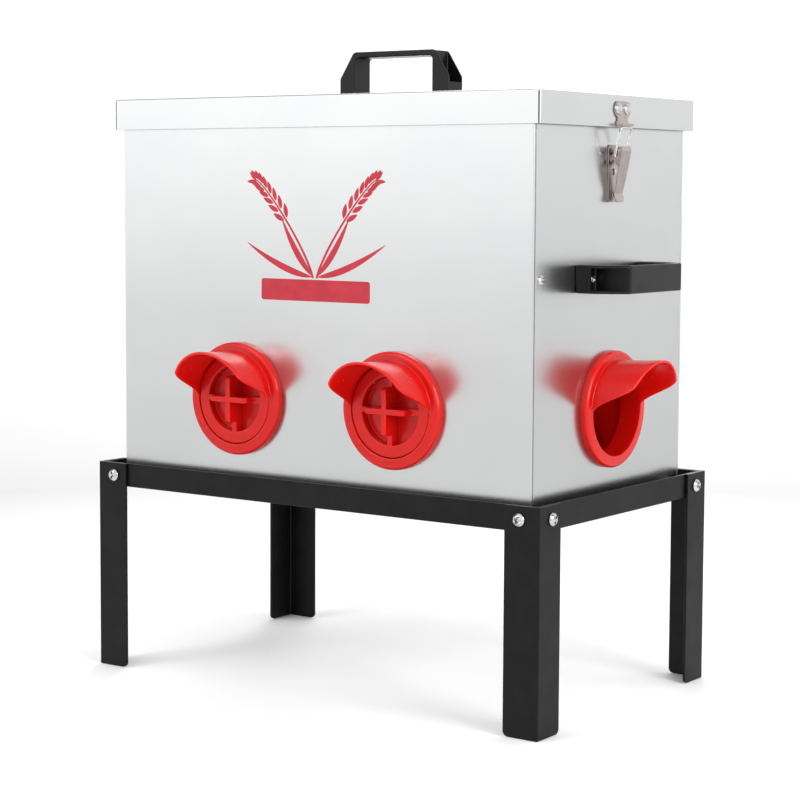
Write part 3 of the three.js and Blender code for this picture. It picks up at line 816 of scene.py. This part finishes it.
# ---------------------------------------------------------------- latches, built in mm from the wall along +X
def latch_base_mesh():
    """The base plate with an ear at each side that holds the lever's pin."""
    px, pz = PIVOT
    half, low, high = 9.5, 440, 489
    plate = fillet(metres([(-half, low), (half, low), (half, high), (-half, high)]), 3 * MM, 5)
    sheet = prism("latch_base", plate, "yz", GAP, GAP + SHEET, LATCH)
    nose = []
    for k in range(11):
        a = math.radians(-90 + 262 * k / 10)
        nose.append((px + 2.4 * math.cos(a), pz + 2.4 * math.sin(a)))
    outline = metres([(0.6, pz - 10), *nose, (0.6, pz - 4.6)])
    inside, outside = 5.4, 6.4  # the ear's two faces, from the middle of the plate
    for sign in (-1, 1):
        near, far = sorted((sign * inside * MM, sign * outside * MM))
        boolean(sheet, prism("ear", outline, "xz", near, far, LATCH), "UNION")
    bevel(sheet, 0.2 * MM, 2)
    return smooth(sheet)


def latch_lever_mesh():
    """The lever: a bent web with a waist near its tip, and a cheek at each side for the pin."""
    px, pz = PIVOT
    half, t = 7.8, 0.9
    outer = [(px + 2.8, pz + 3.7), (px + 3.6, pz), (px - 2.6, pz - 31), (px - 4, pz - 37),
             (px - 2.2, pz - 44)]
    inner = [(px + 1.9, pz + 3.5), (px + 2.7, pz + 0.1), (px - 3.5, pz - 30.9), (px - 4.9, pz - 37),
             (px - 3.1, pz - 44.2)]
    radii = [0.2, 1.5, 3, 3, 0.2, 0.2, 2.5, 2.5, 0.8, 0.2]
    line = fillet(metres(outer + inner[::-1]), [r * MM for r in radii], 4)
    web = prism("latch_lever", line, "xz", -half * MM, half * MM, LATCH)
    trim = [(half, pz + 8), (half, pz - 24), (half - 1.4, pz - 31), (half - 1.4, pz - 35), (half, pz - 41),
            (half - 3, pz - 44.6), (half + 4, pz - 50), (half + 4, pz + 8)]
    radii = [0, 5, 5, 5, 3, 1, 0, 0]
    for sign in (-1, 1):
        line = fillet(metres([(sign * y, z) for y, z in trim]), [r * MM for r in radii], 4)
        boolean(web, prism("trim", line, "yz", -5 * MM, 30 * MM, None))
    cheek = [(px + 2.6, pz + 3.4), (px + 3.2, pz), (px + 0.6, pz - 13), (px - 1.1, pz - 13.4),
             (px - 5.2, pz - 8.2), (px - 5, pz - 4), (px - 2.4, pz + 2), (px, pz + 3.2)]
    radii = [0.4, 1, 0.5, 1, 2.5, 2, 2, 1]
    line = fillet(metres(cheek), [r * MM for r in radii], 4)
    for sign in (-1, 1):
        near, far = sorted((sign * (half - t) * MM, sign * half * MM))
        boolean(web, prism("cheek", line, "xz", near, far, LATCH), "UNION")
    bevel(web, 0.3 * MM, 3)
    return smooth(web)


def wire(name, path, radius, sides=16):
    """A round wire along a flat path of points, mitred at each."""
    plane_normal = (path[1] - path[0]).cross(path[len(path) // 2] - path[0]).normalized()
    rings = []
    for i, p in enumerate(path):
        before = (p - path[i - 1]).normalized() if i else (path[1] - p).normalized()
        after = (path[i + 1] - p).normalized() if i < len(path) - 1 else before
        along = (before + after).normalized()
        across = along.cross(plane_normal).normalized() / max(0.5, along.dot(after))
        turns = [2 * math.pi * k / sides for k in range(sides)]
        rings.append([p + radius * (across * math.cos(a) + plane_normal * math.sin(a)) for a in turns])
    return smooth(add_object(name, *loft(rings), WIRE), 40, weighted=False)


def latch_bail_mesh():
    """The wire bail: two ends in the lever's cheeks, two arms and a crossbar under the keeper's lip."""
    foot = Vector(WIRE_PIVOT)
    along = Vector(CROSSBAR) - foot
    length, half, end = along.length, 9.4, 6.9
    flat = fillet([(end, 0), (half, 0), (half, length), (-half, length), (-half, 0), (-end, 0)],
                  [0, 1.3, 2.2, 2.2, 1.3, 0], 6, closed=False)
    unit = along.normalized()
    path = []
    for u, v in flat:
        at = foot + unit * v
        path.append(Vector((at.x, u, at.y)) * MM)
    return wire("latch_bail", path, 1.0 * MM)


def keeper_mesh():
    """The keeper on the lid's skirt: a plate with two round lobes, and a lip that the bail hooks under."""
    top, rivets, lip, neck = 526, KEEPER_RIVETS[1], 505, 8.5
    lobe = []
    for k in range(13):
        a = math.radians(-52 + 142 * k / 12)
        lobe.append((7 + 6.8 * math.cos(a), min(top, rivets + 6.8 * math.sin(a))))
    half = [(neck - 0.5, lip + 0.6), (neck, lip + 7), *lobe]
    outline = metres(half + [(-y, z) for y, z in reversed(half)])
    sheet = prism("keeper", outline, "yz", GAP, GAP + SHEET, LATCH)
    profile = [(0.3, lip + 4), (0.3, lip), (6.7, lip), (6.7, lip + 2.2), (5.8, lip + 2.2), (5.8, lip + 1),
               (1.3, lip + 1), (1.3, lip + 4)]
    line = fillet(metres(profile), [0, 0.9 * MM, 1.2 * MM, 0.3 * MM, 0.3 * MM, 0.5 * MM, 1 * MM, 0], 4)
    shelf = prism("lip", line, "xz", -10 * MM, 10 * MM, LATCH)
    boolean(sheet, shelf, "UNION")
    bevel(sheet, 0.2 * MM, 2)
    return smooth(sheet)


def latch_pin_mesh():
    """The pivot pin, with a flat head at each end."""
    head, shank, end, under = 1.9, 1.5, 8.1, 7.85
    half = [(shank, under), (head, under), (head, end), (0, end)]
    profile = fillet([(r, -y) for r, y in half[::-1]] + half, [0, 0.15, 0, 0, 0, 0, 0.15, 0], 2)
    pin = smooth(revolve("latch_pin", metres(profile), ZINC, 32), weighted=False)
    pin.data.transform(Matrix.Translation((PIVOT[0] * MM, 0, PIVOT[1] * MM)))
    return pin


def latches():
    base, lever, bail, hook = latch_base_mesh(), latch_lever_mesh(), latch_bail_mesh(), keeper_mesh()
    pin = latch_pin_mesh()
    head = rivet("rivet_master", 5.0 * MM, 2.1 * MM)
    small = rivet("base_rivet_master", 3.0 * MM, 1.1 * MM)
    wall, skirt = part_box("side_panel_right")[1].x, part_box("lid")[1].x
    pieces = (
        (base, "hopper", "latch_base", "plate"),
        (lever, "lever", "latch_lever", "pressing"),
        (bail, "bail", "latch_bail", "wire"),
        (pin, "hopper", "latch_pin", "rivet"),
        (hook, "lid", "keeper", "plate"),
    )
    for side, turn in (("right", 0), ("left", 180)):
        place = turn_z(turn) @ Matrix.Translation((wall, 0, 0))
        on_lid = turn_z(turn) @ Matrix.Translation((skirt, 0, 0))
        for mesh, body, kind, suffix in pieces:
            node = f"{kind}_{side}"
            rides_on = body if body in ("hopper", "lid") else f"{body}_{side}"
            spot = on_lid if body == "lid" else place
            stands_for(copy_of(mesh, f"{node}_{suffix}", spot), rides_on, "latch_steel", node)
        across, level = KEEPER_RIVETS
        for k, y in ((1, -across * MM), (2, across * MM)):
            spot = on_lid @ Matrix.Translation((GAP + SHEET, y, level * MM)) @ outward(x_sign=1)
            stands_for(copy_of(head, f"keeper_{side}_rivet_{k}", spot), "lid", "zinc_screw")
        for k, z in enumerate(BASE_RIVETS, 1):
            spot = place @ Matrix.Translation((GAP + SHEET, 0, z * MM)) @ outward(x_sign=1)
            stands_for(copy_of(small, f"latch_base_{side}_rivet_{k}", spot), "hopper", "zinc_screw")
    for master in (base, lever, bail, hook, pin, head, small):
        bpy.data.objects.remove(master)


# ---------------------------------------------------------------- stand
def leg(name):
    """A steel angle with a rounded root and heel, and rounded corners at the floor."""
    low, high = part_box(name)
    sx = 1 if low.x + high.x > 0 else -1
    sy = 1 if low.y + high.y > 0 else -1
    wide = high.x - low.x
    t = STAND_SHEET
    heel = (sx * max(abs(low.x), abs(high.x)), sy * max(abs(low.y), abs(high.y)))
    local = [(0, 0), (-wide, 0), (-wide, -t), (-t, -t), (-t, -wide), (0, -wide)]
    rounded = fillet(local, [1.6 * MM, 0.5 * MM, 0.5 * MM, 1.5 * MM, 0.5 * MM, 0.5 * MM], 4)
    outline = [(heel[0] + sx * p.x, heel[1] + sy * p.y) for p in rounded]
    bar = prism(f"{name}_angle", outline, "xy", low.z, high.z, BLACK)
    corner = 5 * MM
    for plane, centre, across in (("xz", heel[0] - sx * wide, heel[1]), ("yz", heel[1] - sy * wide, heel[0])):
        inward = sx if plane == "xz" else sy
        line = [(centre - inward * 2 * MM, low.z - 2 * MM), (centre + inward * corner, low.z - 2 * MM)]
        for k in range(7):
            a = math.radians(90 * k / 6)
            line.append((centre + inward * corner * (1 - math.sin(a)), low.z + corner * (1 - math.cos(a))))
        line.append((centre - inward * 2 * MM, low.z + corner))
        boolean(bar, prism("corner", line, plane, across - 4 * MM, across + 4 * MM, None))
    bevel(bar, 0.35 * MM, 2)
    stands_for(smooth(bar), "hopper", "black_paint", name)


def rail(name):
    """An angle whose wall stands between the legs and whose ledge carries the hopper."""
    low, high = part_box(name)
    long = high.x - low.x > high.y - low.y
    sign = 1 if (low + high)[1 if long else 0] > 0 else -1
    t = RAIL_SHEET
    across = (low.y, high.y) if long else (low.x, high.x)
    outer, inner = (across[1], across[0]) if sign > 0 else (across[0], across[1])
    profile = [(outer, low.z), (outer, high.z), (outer - sign * t, high.z), (outer - sign * t, low.z + t),
               (inner, low.z + t), (inner, low.z)]
    line = fillet(profile, [1.4 * MM, 0.4 * MM, 0.4 * MM, 1.4 * MM, 0.4 * MM, 0.4 * MM], 4)
    ends = (low.x, high.x) if long else (low.y, high.y)
    bar = prism(f"{name}_angle", line, "yz" if long else "xz", ends[0], ends[1], BLACK)
    notch = t + GAP if long else RAIL_LEDGE + GAP - t
    for end, way in ((ends[0], 1), (ends[1], -1)):
        a, b = sorted((end - way * MM, end + way * notch))
        c, d = sorted((outer - sign * t, inner - sign * MM))
        low_z, high_z = low.z - MM, low.z + t + 0.5 * MM
        box_low = (a, c, low_z) if long else (c, a, low_z)
        box_high = (b, d, high_z) if long else (d, b, high_z)
        boolean(bar, cuboid("notch", box_low, box_high, None))
    bevel(bar, 0.3 * MM, 2)
    stands_for(smooth(bar), "hopper", "black_paint", name)


def stand():
    for node in sorted(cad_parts):
        if node.startswith("leg_"):
            leg(node)
        if node.startswith("rail_"):
            rail(node)


# ---------------------------------------------------------------- studio
def area_light(name, at, aim, width, height, power):
    data = bpy.data.lights.new(name, "AREA")
    data.shape = "RECTANGLE"
    data.size, data.size_y, data.energy = width, height, power
    lamp = bpy.data.objects.new(name, data)
    scene.collection.objects.link(lamp)
    lamp.location = at
    lamp.rotation_euler = (Vector(aim) - Vector(at)).to_track_quat("-Z", "Y").to_euler()


def studio_world():
    """A white surround, darker high up at both sides, so that the side panels don't mirror pure white."""
    world = bpy.data.worlds.new("studio")
    world.use_nodes = True
    scene.world = world
    tree = world.node_tree
    coords = tree.nodes.new("ShaderNodeTexCoord")
    mirrored = tree.nodes.new("ShaderNodeVectorMath")
    mirrored.operation = "ABSOLUTE"
    sideways = tree.nodes.new("ShaderNodeVectorMath")
    sideways.operation = "DOT_PRODUCT"
    sideways.inputs[1].default_value = (0.5, 0.0, 0.4)
    ramp = tree.nodes.new("ShaderNodeValToRGB")
    bright, dim = ramp.color_ramp.elements
    bright.position, bright.color = 0.55, (1.0, 1.0, 1.0, 1)
    dim.position, dim.color = 0.62, (0.35, 0.35, 0.35, 1)
    background = tree.nodes["Background"]
    background.inputs["Strength"].default_value = 1.2
    tree.links.new(coords.outputs["Generated"], mirrored.inputs[0])
    tree.links.new(mirrored.outputs["Vector"], sideways.inputs[0])
    tree.links.new(sideways.outputs["Value"], ramp.inputs["Fac"])
    tree.links.new(ramp.outputs["Color"], background.inputs["Color"])


def studio():
    bpy.ops.mesh.primitive_plane_add(size=80, location=(0, 0, -0.0005))
    floor = bpy.context.object
    floor.name = "studio_floor"
    floor.data.materials.append(studio_floor())
    studio_world()
    area_light("key", (2.5, -0.6, 1.3), (0, 0, 0.35), 1.2, 1.2, 42)
    area_light("front_softbox", (-1.9, -2.6, 1.14), (0, 0, 0.45), 2.4, 1.6, 7)
    area_light("front_high", (-1.0, -2.4, 2.1), (0, 0, 0.3), 0.9, 0.5, 15)
    area_light("rim", (-1.2, 2.4, 1.6), (0, 0, 0.3), 1.2, 0.8, 24)
    scene.view_settings.view_transform = "Standard"


def camera():
    """The photograph's viewpoint: front right, a little above the middle of the hopper."""
    yaw, pitch, roll = math.radians(35.49), math.radians(4.63), math.radians(0.28)
    distance, aside, height = 1.9638, 0.0008, 0.451
    lens, sensor, shift = 95.445, 36.0, -0.05  # mm, mm, and a part of the picture's width
    flat = Vector((-math.sin(yaw), math.cos(yaw), 0))
    right = Vector((math.cos(yaw), math.sin(yaw), 0))
    ahead = flat * math.cos(pitch) + Vector((0, 0, -math.sin(pitch)))
    up = right.cross(ahead)
    tilted_right = right * math.cos(roll) + up * math.sin(roll)
    tilted_up = up * math.cos(roll) - right * math.sin(roll)
    data = bpy.data.cameras.new("camera")
    data.sensor_width, data.lens = sensor, lens
    data.shift_y = shift
    data.clip_end = 50
    cam = bpy.data.objects.new("camera", data)
    scene.collection.objects.link(cam)
    turn = Matrix((tilted_right, tilted_up, -ahead)).transposed().to_4x4()
    cam.matrix_world = Matrix.Translation(-flat * distance + right * aside + Vector((0, 0, height))) @ turn
    scene.camera = cam


camera()
studio()
lid()
for panel_name in ("side_panel_left", "side_panel_right"):
    side_panel(panel_name)
for panel_name in ("front_panel", "back_panel"):
    face_panel(panel_name)
floor_pan()
printed_emblem()
seam_screws()
handles()
ports()
latches()
stand()
stand_fasteners()
